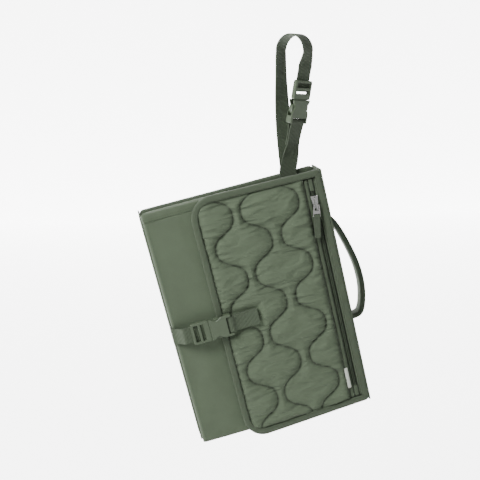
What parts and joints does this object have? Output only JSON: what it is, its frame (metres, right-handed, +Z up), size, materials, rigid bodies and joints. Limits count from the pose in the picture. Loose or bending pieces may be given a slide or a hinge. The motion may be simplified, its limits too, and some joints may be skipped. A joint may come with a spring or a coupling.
{
  "type": "folding changing pad",
  "caption": "Portable nappy-changing pad folded into a clutch: quilted zip-pocket flap, padded folds, buckled side strap, carry handle, and a buckled webbing loop that hangs it from a bar.",
  "frame": {"origin": "centre of the bar that the hanging loop goes over", "axes": "+Z up, front flap facing -Y, the bar level and turned 45 degrees in plan; the hung pad leans 13.5 degrees in its own plane"},
  "size_m": [0.2933, 0.0824, 0.5051],
  "materials": {
    "shell": "matt woven polyester",
    "quilt": "matt quilted polyester",
    "lining": "wipeable coated lining",
    "mesh": "open mesh",
    "binding": "ribbed edge tape",
    "webbing": "ribbed webbing",
    "buckle": "moulded acetal",
    "metal": "satin metal",
    "zip_coil": "nylon coil",
    "label": "blank woven label"
  },
  "bodies": {
    "hang_strap": {"hang_loop": "webbing", "hang_leg": "webbing", "hang_buckle_female": "buckle"},
    "hang_buckle_male": {"hang_buckle_male": "buckle"},
    "pad_back": {"back_binding": "binding", "back_shell": "shell", "back_lining": "lining", "mesh_pocket": "mesh", "pocket_elastic": "binding", "spine_fixed": "binding", "left_fold_fixed": "binding", "strap_anchor": "webbing", "handle_tab_top": "binding", "handle_tab_bottom": "binding"},
    "mat_fold_1": {"mat_leaf_1_inner": "lining", "mat_leaf_1_outer": "shell", "left_fold": "shell", "middle_fold_inner": "binding"},
    "mat_fold_2": {"mat_leaf_2_inner": "lining", "mat_leaf_2_outer": "shell", "top_hem": "binding", "middle_fold_outer": "binding", "side_webbing": "webbing"},
    "side_buckle_male": {"side_buckle_male": "buckle"},
    "front_flap": {"flap_binding": "binding", "flap_lining": "lining", "flap_quilt": "quilt", "head_pillow": "lining", "zip_tape_left": "shell", "zip_tape_right": "shell", "zip_coil": "zip_coil", "zip_end_top": "binding", "zip_end_bottom": "binding", "flap_spine": "binding", "side_tag": "label", "side_buckle_female": "buckle", "side_stub": "webbing"},
    "zip_slider": {"zip_slider": "metal"},
    "zip_pull": {"zip_pull": "metal", "pull_tab": "webbing"},
    "carry_handle": {"carry_handle": "webbing"}
  },
  "joints": [
    {"name": "pad_swing", "type": "hinge", "parent": "hang_strap", "child": "pad_back", "pos_m": [-0.00663, 0, -0.1424], "axis": [0.9724, 0, 0.2334], "range_deg": [-15, 15]},
    {"name": "flap_open", "type": "hinge", "parent": "pad_back", "child": "front_flap", "pos_m": [0.06287, -0.01165, -0.28409], "axis": [-0.2334, 0, 0.9724], "range_deg": [0, 178]},
    {"name": "mat_unfold_1", "type": "hinge", "parent": "pad_back", "child": "mat_fold_1", "pos_m": [-0.15543, 0.00038, -0.3365], "axis": [0.2334, 0, -0.9724], "range_deg": [0, 178]},
    {"name": "mat_unfold_2", "type": "hinge", "parent": "mat_fold_1", "child": "mat_fold_2", "pos_m": [-0.04458, -0.0155, -0.30989], "axis": [-0.2334, 0, 0.9724], "range_deg": [0, 178]},
    {"name": "side_buckle_release", "type": "slide", "parent": "mat_fold_2", "child": "side_buckle_male", "axis": [-0.9724, 0, -0.2334], "range_m": [0, 0.018]},
    {"name": "hang_buckle_release", "type": "slide", "parent": "hang_strap", "child": "hang_buckle_male", "axis": [0.1426, -0.0925, 0.9854], "range_m": [0, 0.018]},
    {"name": "zip_run", "type": "slide", "parent": "front_flap", "child": "zip_slider", "axis": [0.2334, 0, -0.9724], "range_m": [0, 0.232]},
    {"name": "zip_pull_swing", "type": "hinge", "parent": "zip_slider", "child": "zip_pull", "pos_m": [0.02154, -0.0382, -0.17837], "axis": [-0.9724, 0, -0.2334], "range_deg": [0, 100]},
    {"name": "handle_fold", "type": "hinge", "parent": "pad_back", "child": "carry_handle", "pos_m": [0.04235, 0.0173, -0.27359], "axis": [-0.2334, 0, 0.9724], "range_deg": [0, 90]}
  ],
  "couplings": [
    {"joint": "mat_unfold_1", "follows": "flap_open", "ratio": 1},
    {"joint": "mat_unfold_2", "follows": "flap_open", "ratio": 1}
  ]
}
